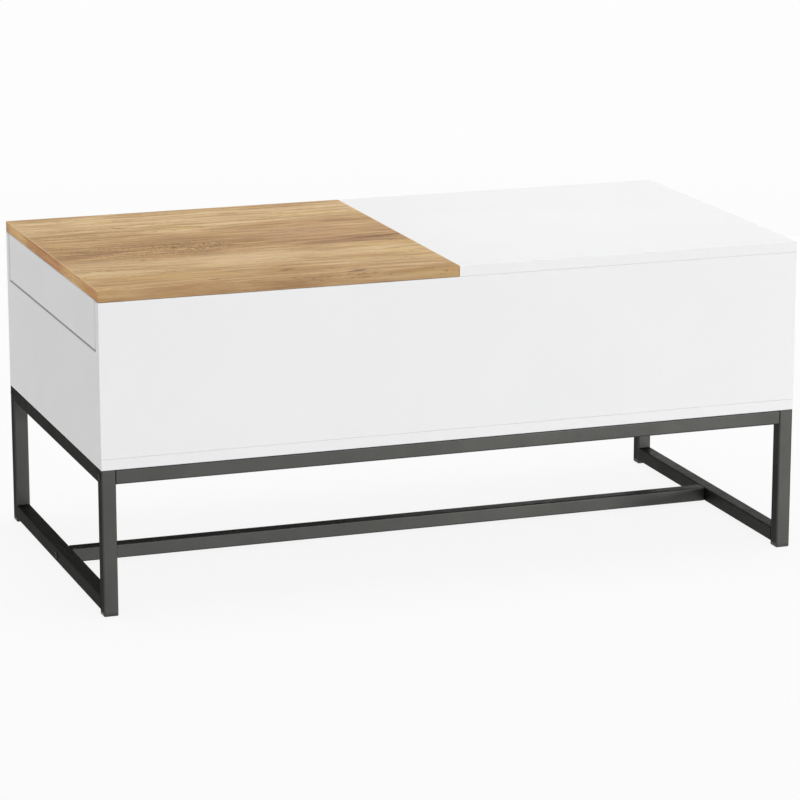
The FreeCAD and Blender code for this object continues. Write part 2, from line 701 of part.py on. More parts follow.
def runner_piece(name, side_sign, outline, start, length):
    """Makes one long member of a runner from its section, which starts at the panel's face."""
    body, _ = padded(f"{name}_member", [outline], length)
    put(body, (start, f"{side_sign} * inner_y", "leaf_rail_middle"), x_way=(0, -side_sign, 0), z_way=X_AXIS)
    bases[name] = body


def runner(side, side_sign):
    """One ball-bearing runner: three members, two ball cages, their balls and the screws."""
    members = (("outer", outer_outline()), ("middle", middle_outline()), ("inner", inner_outline()))
    for member, outline in members:
        runner_piece(f"{side}_runner_{member}", side_sign, outline, "runner_start", "runner_length")
    stages = (("outer", "outer_cage_web", "outer_cage_tip", "outer_row", "outer_ball_depth"),
              ("inner", "inner_cage_web", "inner_cage_tip", "inner_row", "inner_ball_depth"))
    for stage, web, tip, ball_row, ball_depth in stages:
        cage = f"{side}_{stage}_cage"
        runner_piece(cage, side_sign, cage_outline(web, tip, ball_row), "cage_start", "cage_length")
        y = f"{side_sign} * (inner_y - ({ball_depth}))"
        for share in BALL_SHARES:
            x = f"cage_start + {share} * cage_length"
            bore(cage, (x, y, "leaf_rail_middle - outer_half"), Z_AXIS, "race / 2", "runner_height")
            for sign in (-1, 1):
                place = (x, y, f"leaf_rail_middle + {sign} * {ball_row}")
                groups.setdefault(f"{side}_{stage}_balls", []).append(copy_of(ball, "ball", place, X_AXIS))
    for share in RUNNER_SCREW_SHARES:
        x = f"runner_start + {share} * runner_length"
        place = (x, f"{side_sign} * (inner_y - runner_wall)", "leaf_rail_middle")
        fasten("runner_panel_screws", panel_screw, panel_screw_hole, place, (0, side_sign, 0),
               [f"{side}_runner_outer", f"{side}_panel"])
        place = (x, f"{side_sign} * (inner_y - inner_web)", "leaf_rail_middle")
        fasten("runner_leaf_screws", leaf_screw, leaf_screw_hole, place, (0, -side_sign, 0),
               [f"{side}_runner_inner", f"leaf_{side}_rail"])


def ball_master():
    """One ball of a runner."""
    sphere = doc.addObject("Part::Sphere", "ball")
    bind(sphere, "Radius", "ball_diameter / 2")
    return sphere


LONG_RAILS = (("front_long_rail", "-(leg_y)", "top_rail_z", "front_leg"),
              ("rear_long_rail", "leg_y", "top_rail_z", "rear_leg"),
              ("low_stretcher", "0", "low_rail_z", "low_rail"))
BASE_SCREW = ("base_screw_head_radius", "base_screw_head_height", "base_screw_radius", "base_screw_length")
PANEL_SCREW = ("runner_screw_head_radius", "runner_screw_head_height", "runner_screw_radius",
               "runner_screw_length")

cam_lock = cam_master()
cam_bolt = cam_bolt_master()
dowel = dowel_master()
base_screw = screw_master("base_screw", *BASE_SCREW)
base_screw_hole = screw_hole("base_screw_hole", *BASE_SCREW)
panel_screw = screw_master("panel_screw", *PANEL_SCREW)
panel_screw_hole = screw_hole("panel_screw_hole", *PANEL_SCREW)
leaf_screw = round_screw_master("leaf_screw", "runner_screw_radius", "runner_screw_length")
leaf_screw_hole = shank_hole("leaf_screw_hole", "runner_screw_radius", "runner_screw_length")
frame_bolt = bolt_master("frame_bolt", "bolt_grip")
frame_bolt_hole = shank_hole("frame_bolt_hole", "bolt_radius", "bolt_grip")
case_bolt = bolt_master("case_bolt", "case_bolt_grip")
case_bolt_hole = shank_hole("case_bolt_hole", "bolt_radius", "case_bolt_grip")
threaded_insert = insert_master()
rail_plug = plug_master()
foot_glide = foot_master()
stop_buffer = buffer_master()
ball = ball_master()

stand()
chest()
chest_joints()
leaf()
for side, side_sign in SIDES.items():
    runner(side, side_sign)

for name, base in bases.items():
    nodes[name] = difference(name, base, cutters[name]) if name in cutters else base
for name, copies in groups.items():
    holder = doc.addObject("Part::Compound", f"{name}_group")
    holder.Links = copies
    nodes[name] = holder
for name, item in nodes.items():
    item.Label = name
doc.recompute()

for item in doc.Objects:
    if {"Invalid", "Error"} & set(item.State):
        raise RuntimeError(f"{item.Label} failed: {item.State}")
for name, item in nodes.items():
    if item.Shape.isNull() or not item.Shape.isValid():
        raise RuntimeError(f"{name} has no valid shape")

os.makedirs("parts", exist_ok=True)
for name, item in nodes.items():
    item.Shape.exportStep(f"parts/{name}.step")
    print(f"{name}: {len(item.Shape.Solids)} solids, {item.Shape.Volume:.1f} mm3")
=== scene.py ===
"""Looks of the extendable coffee table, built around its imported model.

A white storage chest with an oak-faced sliding leaf stands on an anthracite square-tube stand.
The script dresses each solid in its finish, swaps the plain bolts for bolts with sockets and
threads, and sets the table on a pale studio floor. Lengths are in metres. X runs along the
table with the leaf at -X, the front is at -Y and Z is up.
"""
import json
import logging
import math
from dataclasses import dataclass
from enum import Enum
from typing import Dict, Iterable, List, Optional, Sequence, Tuple, Union

import bmesh
import bpy
from mathutils import Matrix, Vector


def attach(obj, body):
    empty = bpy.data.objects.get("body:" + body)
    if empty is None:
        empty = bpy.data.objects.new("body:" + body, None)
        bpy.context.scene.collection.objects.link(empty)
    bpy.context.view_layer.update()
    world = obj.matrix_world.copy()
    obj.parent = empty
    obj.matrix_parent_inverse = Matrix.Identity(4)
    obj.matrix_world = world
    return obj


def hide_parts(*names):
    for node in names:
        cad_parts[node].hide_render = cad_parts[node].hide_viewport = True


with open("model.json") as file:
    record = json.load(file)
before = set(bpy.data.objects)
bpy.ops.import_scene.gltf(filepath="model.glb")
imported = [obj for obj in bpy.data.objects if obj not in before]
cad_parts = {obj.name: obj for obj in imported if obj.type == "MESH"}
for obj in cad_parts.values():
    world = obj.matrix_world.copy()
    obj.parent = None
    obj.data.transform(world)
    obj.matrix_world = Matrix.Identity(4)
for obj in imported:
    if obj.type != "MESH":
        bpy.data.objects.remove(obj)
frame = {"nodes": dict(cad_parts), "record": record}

LOG = logging.getLogger("coffee_table")
MILLIMETRE = 0.001
NOISE_MIDDLE = 0.5
CASE_BODY = "case"

Point = Tuple[float, float, float]
Span = Tuple[float, float]
Colour = Tuple[float, float, float, float]
Feed = Union[float, Tuple[float, ...], bpy.types.NodeSocket]
Profile = Sequence[Tuple[float, float]]


def tone(red: int, green: int, blue: int) -> Colour:
    """Turns a colour as seen on a screen, 0 to 255, into the light values that shaders take.

    Args:
        red: Screen value of red.
        green: Screen value of green.
        blue: Screen value of blue.

    Returns:
        The colour in linear light, with full opacity.
    """
    def linear(level: int) -> float:
        """Linear light of one screen value."""
        share = level / 255
        return share / 12.92 if share <= 0.04045 else ((share + 0.055) / 1.055) ** 2.4

    return linear(red), linear(green), linear(blue), 1.0


class Slot(Enum):
    """The material slots of the table, each with one finish."""

    WHITE_BOARD = "white_board"
    OAK_BOARD = "oak_board"
    FRAME_COAT = "frame_coat"
    FOOT_PLASTIC = "foot_plastic"
    BLACK_BOLT = "black_bolt"
    ZINC_STEEL = "zinc_steel"
    CAM_ZINC = "cam_zinc"
    RUNNER_STEEL = "runner_steel"
    CAGE_STEEL = "cage_steel"
    BALL_STEEL = "ball_steel"
    BEECH = "beech"
    STOP_RUBBER = "stop_rubber"


class Blend(Enum):
    """The ways of laying one colour over another."""

    MIX = "MIX"
    MULTIPLY = "MULTIPLY"


# Node graphs

class Graph:
    """Writes the nodes of one material, group or world."""

    def __init__(self, tree: bpy.types.NodeTree) -> None:
        """Takes over a node tree and empties it."""
        self.tree = tree
        tree.nodes.clear()

    def feed(self, socket: bpy.types.NodeSocket, value: Feed) -> None:
        """Links a socket to another, or sets its value.

        Args:
            socket: The input to fill.
            value: An output to link, or a plain value.
        """
        if isinstance(value, bpy.types.NodeSocket):
            self.tree.links.new(value, socket)
        else:
            socket.default_value = value

    def add(self, kind: str, inputs: Optional[Dict[Union[str, int], Feed]] = None,
            **settings: str) -> bpy.types.Node:
        """Adds a node.

        Args:
            kind: The node's type.
            inputs: What each named or numbered input takes.
            **settings: Properties of the node itself.

        Returns:
            The new node.
        """
        node = self.tree.nodes.new(kind)
        for name, value in settings.items():
            setattr(node, name, value)
        for name, value in (inputs or {}).items():
            self.feed(node.inputs[name], value)
        return node

    def calc(self, operation: str, *values: Feed) -> bpy.types.NodeSocket:
        """Works out one sum on numbers.

        Args:
            operation: The name of the sum.
            *values: What goes in.

        Returns:
            The result's socket.
        """
        node = self.add("ShaderNodeMath", dict(enumerate(values)), operation=operation)
        return node.outputs[0]

    def split(self, place: Feed) -> Sequence[bpy.types.NodeSocket]:
        """Gives the three parts of a place or direction."""
        return self.add("ShaderNodeSeparateXYZ", {0: place}).outputs

    def stretch(self, place: Feed, scale: Point, shift: Point = (0, 0, 0)) -> bpy.types.NodeSocket:
        """Scales a place by its axes and moves it.

        Args:
            place: The place to change.
            scale: The factor for each axis.
            shift: What is added afterwards.

        Returns:
            The new place's socket.
        """
        inputs = {0: place, 1: scale, 2: shift}
        return self.add("ShaderNodeVectorMath", inputs, operation="MULTIPLY_ADD").outputs[0]

    def length(self, place: Feed) -> bpy.types.NodeSocket:
        """Gives a place's distance from the origin."""
        node = self.add("ShaderNodeVectorMath", {0: place}, operation="LENGTH")
        return node.outputs["Value"]

    def noise(self, place: Feed, scale: Feed = 1.0, detail: float = 2.0, rough: float = 0.5,
              bend: float = 0.0) -> bpy.types.NodeSocket:
        """Reads soft noise at a place.

        Args:
            place: Where the noise is read.
            scale: Patches in a metre, after any stretch.
            detail: Finer layers on top of the first.
            rough: How strong the finer layers are.
            bend: How far the noise bends itself.

        Returns:
            A value about 0.5, from 0 to 1.
        """
        inputs = {"Vector": place, "Scale": scale, "Detail": detail, "Roughness": rough,
                  "Distortion": bend}
        return self.add("ShaderNodeTexNoise", inputs).outputs[0]

    def fit(self, value: Feed, span: Span, onto: Span = (0.0, 1.0)) -> bpy.types.NodeSocket:
        """Maps one span of values onto another with soft ends.

        Args:
            value: The value to map.
            span: Start and end of its span.
            onto: What the start and the end become.

        Returns:
            The mapped value's socket.
        """
        inputs = {"Value": value, "From Min": span[0], "From Max": span[1], "To Min": onto[0],
                  "To Max": onto[1]}
        node = self.add("ShaderNodeMapRange", inputs, interpolation_type="SMOOTHSTEP")
        return node.outputs[0]

    def ramp(self, value: Feed, stops: Sequence[Tuple[float, Colour]]) -> bpy.types.NodeSocket:
        """Reads a colour ramp.

        Args:
            value: Where the ramp is read, from 0 to 1.
            stops: Each stop's place and colour.

        Returns:
            The colour's socket.
        """
        node = self.add("ShaderNodeValToRGB", {0: value})
        marks = node.color_ramp.elements
        while len(marks) < len(stops):
            marks.new(1.0)
        for mark, (place, colour) in zip(marks, stops):
            mark.position = place
            mark.color = colour
        return node.outputs[0]

    def tint(self, share: Feed, base: Feed, other: Feed,
             blend: Blend = Blend.MIX) -> bpy.types.NodeSocket:
        """Lays one colour over another.

        Args:
            share: How much of the second colour is taken.
            base: The first colour.
            other: The second colour.
            blend: The way of laying it.

        Returns:
            The new colour's socket.
        """
        inputs = {0: share, 6: base, 7: other}
        node = self.add("ShaderNodeMix", inputs, data_type="RGBA", blend_type=blend.value)
        return node.outputs[2]

    def choose(self, share: Feed, base: Feed, other: Feed) -> bpy.types.NodeSocket:
        """Mixes two places.

        Args:
            share: How much of the second place is taken.
            base: The first place.
            other: The second place.

        Returns:
            The mixed place's socket.
        """
        inputs = {0: share, 4: base, 5: other}
        return self.add("ShaderNodeMix", inputs, data_type="VECTOR").outputs[1]

    def group(self, tree: bpy.types.NodeTree,
              inputs: Dict[str, Feed]) -> Sequence[bpy.types.NodeSocket]:
        """Places a node group.

        Args:
            tree: The group.
            inputs: What each of its named inputs takes.

        Returns:
            The group's outputs.
        """
        node = self.tree.nodes.new("ShaderNodeGroup")
        node.node_tree = tree
        for name, value in inputs.items():
            self.feed(node.inputs[name], value)
        return node.outputs


class Effect:
    """A shader node group with named inputs and outputs, built once."""

    def __init__(self, name: str, inputs: Dict[str, Optional[float]],
                 outputs: Iterable[str]) -> None:
        """Makes the group's shell.

        Args:
            name: The group's name.
            inputs: Each input's start value, or None for a place.
            outputs: The names of the values that come out.
        """
        self.tree = bpy.data.node_groups.new(name, "ShaderNodeTree")
        self.graph = Graph(self.tree)
        for label, value in inputs.items():
            kind = "NodeSocketVector" if value is None else "NodeSocketFloat"
            socket = self.tree.interface.new_socket(label, in_out="INPUT", socket_type=kind)
            if value is not None:
                socket.default_value = value
        for label in outputs:
            self.tree.interface.new_socket(label, in_out="OUTPUT", socket_type="NodeSocketFloat")
        self.given = self.graph.add("NodeGroupInput").outputs
        self.result = self.graph.add("NodeGroupOutput").inputs

    def give(self, label: str, value: Feed) -> None:
        """Sends a value out of the group."""
        self.graph.feed(self.result[label], value)


@dataclass(frozen=True)
class GrainSizes:
    """Wood grain: patches in a metre along and across it, and how they are read."""

    sway: Point = (3.0, 7.0, 7.0)
    sway_reach: float = 0.022
    streak: Point = (3.4, 62.0, 62.0)
    streak_span: Span = (0.28, 0.72)
    fibre: Point = (8.0, 150.0, 150.0)
    fibre_span: Span = (0.25, 0.75)
    fibre_height: float = 0.35
    pore: Point = (100.0, 480.0, 480.0)
    pore_span: Span = (0.6, 0.7)
    cluster: Point = (7.0, 60.0, 60.0)
    cluster_shift: Point = (3.1, 5.7, 1.3)
    cluster_span: Span = (0.4, 0.7)
    crowding: Span = (-0.08, 0.05)


class Effects:
    """The surface effects that several finishes share."""

    def __init__(self) -> None:
        """Builds every group once."""
        self.drift = self._drift()
        self.pebble = self._pebble()
        self.fibre = self._fibre(GrainSizes())
        self.drawn = self._drawn()

    @staticmethod
    def _drift() -> bpy.types.NodeTree:
        """Makes slow changes of tone over a surface, as in any painted or pressed sheet.

        Returns:
            The group.
        """
        effect = Effect("tone_drift", {"Place": None, "Patches": 5.0}, ("Tone", "Cloud"))
        graph = effect.graph
        place, patches = effect.given["Place"], effect.given["Patches"]
        slow = graph.noise(place, patches, detail=3.0, rough=0.55)
        effect.give("Tone", graph.fit(slow, (0.25, 0.75)))
        clouds = graph.calc("MULTIPLY", patches, 7.3)
        effect.give("Cloud", graph.noise(place, clouds, detail=4.0, rough=0.6))
        return effect.tree

    @staticmethod
    def _pebble() -> bpy.types.NodeTree:
        """Makes small rounded bumps: orange peel in a coat, or the skin of a moulding.

        Returns:
            The group.
        """
        effect = Effect("pebble", {"Place": None, "Bumps": 900.0}, ("Height", "Glint"))
        graph = effect.graph
        place, bumps = effect.given["Place"], effect.given["Bumps"]
        soft_share, round_share = 0.6, 0.4
        cells = graph.add("ShaderNodeTexVoronoi", {"Vector": place, "Scale": bumps},
                          feature="SMOOTH_F1").outputs
        rounded = graph.fit(cells["Distance"], (0.0, 0.8), (1.0, 0.0))
        soft = graph.noise(place, graph.calc("MULTIPLY", bumps, 0.55))
        height = graph.calc("MULTIPLY", rounded, round_share)
        effect.give("Height", graph.calc("MULTIPLY_ADD", soft, soft_share, height))
        sparks = graph.add("ShaderNodeTexWhiteNoise", {"Vector": cells["Position"]}).outputs[0]
        effect.give("Glint", graph.fit(sparks, (0.72, 1.0)))
        return effect.tree

    @staticmethod
    def _fibre(sizes: GrainSizes) -> bpy.types.NodeTree:
        """Makes wood grain along the place's own X: streaks, fine fibres and open pores.

        Args:
            sizes: The sizes of the grain.

        Returns:
            The group.
        """
        effect = Effect("wood_fibre", {"Place": None, "Coarse": 1.0},
                        ("Streak", "Fibre", "Pore", "Height"))
        graph = effect.graph
        sized = graph.add("ShaderNodeVectorMath", {0: effect.given["Place"]}, operation="SCALE")
        graph.feed(sized.inputs["Scale"], effect.given["Coarse"])
        place = sized.outputs[0]
        sway = graph.noise(graph.stretch(place, sizes.sway))
        aside = graph.calc("MULTIPLY_ADD", sway, sizes.sway_reach, -sizes.sway_reach / 2)
        lift = graph.add("ShaderNodeCombineXYZ", {1: aside}).outputs[0]
        bent = graph.add("ShaderNodeVectorMath", {0: place, 1: lift}).outputs[0]
        streak = graph.noise(graph.stretch(bent, sizes.streak), detail=5.0, rough=0.66)
        effect.give("Streak", graph.fit(streak, sizes.streak_span))
        fibre = graph.noise(graph.stretch(bent, sizes.fibre), detail=6.0, rough=0.8)
        effect.give("Fibre", graph.fit(fibre, sizes.fibre_span))
        ticks = graph.noise(graph.stretch(bent, sizes.pore))
        clusters = graph.noise(graph.stretch(bent, sizes.cluster, sizes.cluster_shift))
        crowd = graph.fit(clusters, sizes.cluster_span, sizes.crowding)
        pore = graph.fit(graph.calc("ADD", ticks, crowd), sizes.pore_span)
        effect.give("Pore", pore)
        shallow = graph.calc("MULTIPLY", fibre, sizes.fibre_height)
        effect.give("Height", graph.calc("SUBTRACT", shallow, pore))
        return effect.tree

    @staticmethod
    def _drawn() -> bpy.types.NodeTree:
        """Makes fine lines along the place's own X, left by rolling, and faint stains.

        Returns:
            The group.
        """
        effect = Effect("drawn_lines", {"Place": None, "Lines": 2400.0}, ("Line", "Stain"))
        graph = effect.graph
        place = effect.given["Place"]
        thin = graph.stretch(place, (0.012, 1.0, 1.0))
        line = graph.noise(thin, effect.given["Lines"], detail=3.0, rough=0.6)
        effect.give("Line", graph.fit(line, (0.25, 0.75)))
        stain = graph.noise(place, 38.0, detail=4.0, rough=0.6)
        effect.give("Stain", graph.fit(stain, (0.35, 0.75)))
        return effect.tree


# Finishes

@dataclass
class Canvas:
    """One material in the making: its nodes, its shader, the place on the piece, the effects."""

    graph: Graph
    shader: bpy.types.Node
    place: bpy.types.NodeSocket
    effects: Effects

    def colour(self, value: Feed) -> None:
        """Feeds the shader's colour."""
        self.graph.feed(self.shader.inputs["Base Color"], value)

    def gloss(self, value: Feed, middle: float, spread: float, span: Span = (0.3, 0.7)) -> None:
        """Lets the roughness waver about its middle.

        Args:
            value: What it wavers with.
            middle: The finish's own roughness.
            spread: How far it goes to either side.
            span: The span of the value that counts.
        """
        rough = self.graph.fit(value, span, (middle - spread, middle + spread))
        self.graph.feed(self.shader.inputs["Roughness"], rough)

    def relief(self, height: Feed, depth: float, strength: float) -> None:
        """Presses a height into the surface.

        Args:
            height: The height, from 0 to 1.
            depth: What a height of 1 measures, in metres.
            strength: How much of it is taken.
        """
        inputs = {"Strength": strength, "Distance": depth, "Height": height}
        bump = self.graph.add("ShaderNodeBump", inputs).outputs[0]
        self.graph.feed(self.shader.inputs["Normal"], bump)


@dataclass(frozen=True)
class Finish:
    """A surface finish of one material slot, with its plain values."""

    slot: Slot
    base: Colour
    roughness: float
    metallic: float = 0.0
    reflect: float = 0.5

    def material(self, effects: Effects) -> bpy.types.Material:
        """Makes the finish as a material.

        Args:
            effects: The shared surface effects.

        Returns:
            The material.
        """
        made = bpy.data.materials.new(self.slot.value)
        made.use_nodes = True
        graph = Graph(made.node_tree)
        out = graph.add("ShaderNodeOutputMaterial")
        shader = graph.add("ShaderNodeBsdfPrincipled", {
            "Metallic": self.metallic, "Roughness": self.roughness,
            "Specular IOR Level": self.reflect})
        graph.feed(out.inputs[0], shader.outputs[0])
        place = graph.add("ShaderNodeTexCoord").outputs["Object"]
        self.paint(Canvas(graph, shader, place, effects))
        return made

    def paint(self, canvas: Canvas) -> None:
        """Wires what changes over the surface; each kind of finish has its own way."""
        raise NotImplementedError

    def shades(self, amount: float) -> Tuple[Colour, Colour]:
        """Gives the finish's colour a little darker and a little lighter.

        Args:
            amount: How far each shade goes.

        Returns:
            The darker and the lighter colour.
        """
        dark = tuple(part * (1 - amount) for part in self.base[:3]) + (1.0,)
        light = tuple(part * (1 + amount) for part in self.base[:3]) + (1.0,)
        return dark, light


@dataclass(frozen=True)
class MouldedSkin(Finish):
    """Moulded plastic, rubber or cast metal with a fine rounded skin."""

    patches: float = 40.0
    shade: float = 0.12
    spread: float = 0.08
    bumps: float = 1100.0
    depth: float = 0.05 * MILLIMETRE
    press: float = 0.6

    def paint(self, canvas: Canvas) -> None:
        """Wires the tone, gloss and skin.

        Args:
            canvas: The material in the making.
        """
        graph, effects = canvas.graph, canvas.effects
        drift = graph.group(effects.drift, {"Place": canvas.place, "Patches": self.patches})
        skin = graph.group(effects.pebble, {"Place": canvas.place, "Bumps": self.bumps})
        colour = graph.tint(drift["Tone"], *self.shades(self.shade))
        canvas.colour(self.flaked(graph, colour, skin["Glint"]))
        canvas.gloss(drift["Cloud"], self.roughness, self.spread)
        canvas.relief(skin["Height"], self.depth, self.press)

    def flaked(self, graph: Graph, colour: Feed, glint: Feed) -> Feed:
        """Leaves the colour plain, as a skin without flakes."""
        return colour


@dataclass(frozen=True)
class PressedBoard(MouldedSkin):
    """Melamine-faced board: an even sheet with a faint pressed skin."""

    patches: float = 3.0
    shade: float = 0.012
    spread: float = 0.03
    bumps: float = 420.0
    depth: float = 0.03 * MILLIMETRE
    press: float = 0.35


@dataclass(frozen=True)
class TexturedCoat(MouldedSkin):
    """Metal-flake powder coat: a fine pebbled skin with faint bright flakes."""

    patches: float = 9.0
    shade: float = 0.1
    spread: float = 0.05
    bumps: float = 1500.0
    depth: float = 0.08 * MILLIMETRE
    press: float = 0.5
    edge_reflect: float = 0.32
    flake_share: float = 0.35
    flake_light: float = 0.8

    def paint(self, canvas: Canvas) -> None:
        """Dims the glancing reflection and wires the coat."""
        canvas.shader.inputs["Specular Tint"].default_value = (self.edge_reflect,) * 3 + (1.0,)
        super().paint(canvas)

    def flaked(self, graph: Graph, colour: Feed, glint: Feed) -> Feed:
        """Strews bright flakes over the colour."""
        flake = graph.calc("MULTIPLY", glint, self.flake_share)
        return graph.tint(flake, colour, self.shades(self.flake_light)[1])


@dataclass(frozen=True)
class Figure:
    """One mark in the oak's figure: a ragged oval that leans to a tone of its own."""

    middle: Span
    half: Span
    colour: Colour
    strength: float = 0.5
    lean: float = 0.0
    ragged: float = 0.9
    core: float = 0.2
    rim: float = 1.15
    reach_down: float = 1000.0

    def mask(self, graph: Graph, place: Feed, torn: Feed) -> bpy.types.NodeSocket:
        """Marks the oval on the board.

        Args:
            graph: The material's nodes.
            place: The place on the board, in metres.
            torn: Noise that tears the oval's rim.

        Returns:
            The mark's share, from 0 to its strength.
        """
        local = graph.add("ShaderNodeMapping", {
            "Vector": place, "Location": self.middle + (0.0,), "Rotation": (0.0, 0.0, self.lean),
            "Scale": self.half + (self.reach_down,)}, vector_type="TEXTURE").outputs[0]
        away = graph.calc("MULTIPLY_ADD", torn, self.ragged, graph.length(local))
        return graph.fit(away, (self.core, self.rim), (self.strength, 0.0))


OAK_TONES: Tuple[Tuple[float, Colour], ...] = (
    (0.0, tone(142, 104, 66)), (0.25, tone(169, 133, 92)), (0.5, tone(187, 152, 107)),
    (0.75, tone(199, 168, 124)), (1.0, tone(212, 185, 142)),
)
OAK_BANDS: Profile = (
    (0.0, 0.52), (0.07, 0.56), (0.15, 0.66), (0.23, 0.8), (0.31, 0.78), (0.38, 0.5), (0.44, 0.36),
    (0.5, 0.43), (0.6, 0.45), (0.7, 0.52), (0.78, 0.78), (0.86, 0.95), (0.95, 0.8), (1.0, 0.5),
)
FIGURES: Tuple[Figure, ...] = (
    Figure((-0.12, 0.03), (0.15, 0.07), tone(190, 152, 118), 0.45),
    Figure((-0.30, 0.03), (0.09, 0.05), tone(166, 131, 92), 0.5),
    Figure((-0.265, -0.115), (0.09, 0.06), tone(210, 181, 142), 0.6),
    Figure((-0.39, -0.195), (0.12, 0.04), tone(193, 157, 104), 0.65),
    Figure((-0.43, -0.095), (0.12, 0.05), tone(204, 173, 132), 0.6),
    Figure((-0.22, -0.205), (0.08, 0.035), tone(170, 132, 86), 0.6),
    Figure((-0.38, -0.245), (0.10, 0.018), tone(176, 136, 90), 0.5),
    Figure((-0.45, 0.12), (0.09, 0.010), tone(162, 126, 86), 0.55),
    Figure((-0.40, 0.0225), (0.11, 0.007), tone(154, 116, 78), 0.45),
    Figure((-0.14, -0.0185), (0.16, 0.005), tone(146, 106, 70), 0.65, 0.0, 1.4, 0.5),
    Figure((-0.09, -0.036), (0.09, 0.012), tone(146, 106, 80), 0.65, 0.06, 1.6, 0.4),
    Figure((-0.03, -0.022), (0.06, 0.004), tone(112, 76, 50), 0.85, 0.12, 0.7, 0.6),
    Figure((-0.44, -0.112), (0.10, 0.005), tone(164, 126, 88), 0.55, -0.2, 1.4),
    Figure((-0.41, -0.136), (0.10, 0.005), tone(166, 128, 88), 0.55, -0.2, 1.4),
    Figure((-0.37, -0.085), (0.07, 0.004), tone(164, 126, 88), 0.5, -0.2, 1.4),
    Figure((-0.13, -0.09), (0.06, 0.016), tone(172, 134, 98), 0.5),
    Figure((-0.09, -0.145), (0.08, 0.014), tone(170, 131, 92), 0.5),
    Figure((-0.11, -0.205), (0.15, 0.008), tone(162, 122, 84), 0.5, -0.1),
    Figure((-0.09, -0.235), (0.13, 0.007), tone(160, 120, 82), 0.5, -0.08),
    Figure((-0.225, -0.203), (0.013, 0.005), tone(108, 74, 46), 0.7, 0.25, 1.8, 0.5),
    Figure((-0.14, -0.240), (0.022, 0.005), tone(108, 74, 48), 0.75, 0.2, 1.8, 0.5),
    Figure((-0.335, -0.232), (0.012, 0.004), tone(120, 84, 54), 0.55, 0.0, 1.4, 0.5),
    Figure((-0.045, -0.112), (0.014, 0.003), tone(126, 90, 58), 0.5, 0.0, 1.4, 0.5),
    Figure((-0.185, 0.205), (0.016, 0.004), tone(132, 96, 62), 0.5, 0.0, 0.9, 0.6),
)
FLECK_ZONES: Tuple[Figure, ...] = (
    Figure((-0.30, -0.012), (0.07, 0.05), tone(96, 64, 38), 0.85, core=0.4),
    Figure((-0.38, -0.012), (0.14, 0.06), tone(120, 84, 54), 0.6, core=0.4),
)


